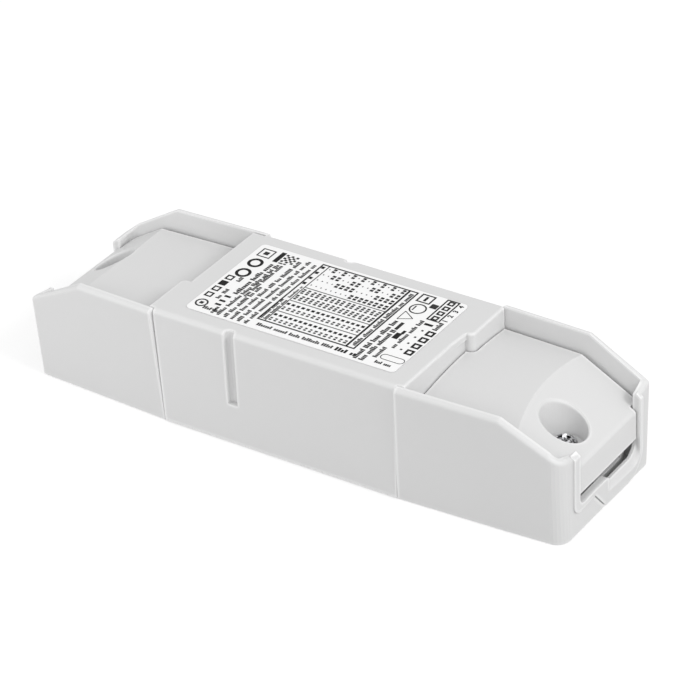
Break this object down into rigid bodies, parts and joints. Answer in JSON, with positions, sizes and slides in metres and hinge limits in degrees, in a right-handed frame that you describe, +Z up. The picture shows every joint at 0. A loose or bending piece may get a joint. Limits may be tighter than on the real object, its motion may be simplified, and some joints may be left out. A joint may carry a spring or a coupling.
{
  "type": "led driver",
  "caption": "White plastic LED driver: an oblong housing with a flat middle cover and, at each end, a recessed screwed terminal cover above a cable opening.",
  "frame": {"origin": "centre of the underside", "axes": "+X along the length towards the lamp end, +Y towards the rear long side, +Z up out of the deck"},
  "size_m": [0.1528, 0.045, 0.0318],
  "materials": {
    "housing_white": "smooth, slightly satin",
    "label_film": "smooth printed film",
    "screw_steel": "bright plated",
    "board_laminate": "satin",
    "terminal_grey": "matt",
    "cage_brass": "satin",
    "selector_blue": "satin",
    "slider_white": "satin",
    "moulded_black": "matt",
    "ferrite": "matt",
    "coil_copper": "enamelled",
    "coil_tape": "satin",
    "can_sleeve": "satin sleeve",
    "film_case": "glossy",
    "disc_coating": "glossy",
    "sink_aluminium": "satin"
  },
  "bodies": {
    "housing": {"base_housing": "housing_white", "bridge_rectifier": "moulded_black", "bulk_capacitor": "can_sleeve", "center_cover": "housing_white", "circuit_board": "board_laminate", "controller_chip": "moulded_black", "fuse": "moulded_black", "input_cover": "housing_white", "input_cover_screw": "screw_steel", "input_terminal": "terminal_grey", "input_terminal_cage_1": "cage_brass", "input_terminal_cage_2": "cage_brass", "input_terminal_cage_3": "cage_brass", "input_terminal_screw_1": "screw_steel", "input_terminal_screw_2": "screw_steel", "input_terminal_screw_3": "screw_steel", "line_choke_coil_1": "coil_copper", "line_choke_coil_2": "coil_copper", "line_choke_core": "ferrite", "line_choke_foot": "moulded_black", "output_capacitor_1": "can_sleeve", "output_capacitor_2": "can_sleeve", "output_cover": "housing_white", "output_cover_screw": "screw_steel", "output_diode": "moulded_black", "output_inductor_coil": "coil_copper", "output_inductor_core": "ferrite", "output_terminal": "terminal_grey", "output_terminal_cage_1": "cage_brass", "output_terminal_cage_2": "cage_brass", "output_terminal_cage_3": "cage_brass", "output_terminal_cage_4": "cage_brass", "output_terminal_screw_1": "screw_steel", "output_terminal_screw_2": "screw_steel", "output_terminal_screw_3": "screw_steel", "output_terminal_screw_4": "screw_steel", "rating_label": "label_film", "safety_capacitor": "disc_coating", "selector_body": "selector_blue", "suppression_capacitor": "film_case", "surge_varistor": "disc_coating", "switch_transistor": "moulded_black", "transformer_bobbin": "moulded_black", "transformer_core": "ferrite", "transformer_winding": "coil_tape", "transistor_heatsink": "sink_aluminium"},
    "selector_switch_1": {"selector_slider_1": "slider_white"},
    "selector_switch_2": {"selector_slider_2": "slider_white"},
    "selector_switch_3": {"selector_slider_3": "slider_white"},
    "selector_switch_4": {"selector_slider_4": "slider_white"}
  },
  "joints": [
    {"name": "selector_slide_1", "type": "slide", "parent": "housing", "child": "selector_switch_1", "axis": [1, 0, 0], "range_m": [0, 0.0018]},
    {"name": "selector_slide_2", "type": "slide", "parent": "housing", "child": "selector_switch_2", "axis": [1, 0, 0], "range_m": [0, 0.0018]},
    {"name": "selector_slide_3", "type": "slide", "parent": "housing", "child": "selector_switch_3", "axis": [1, 0, 0], "range_m": [0, 0.0018]},
    {"name": "selector_slide_4", "type": "slide", "parent": "housing", "child": "selector_switch_4", "axis": [1, 0, 0], "range_m": [0, 0.0018]}
  ]
}
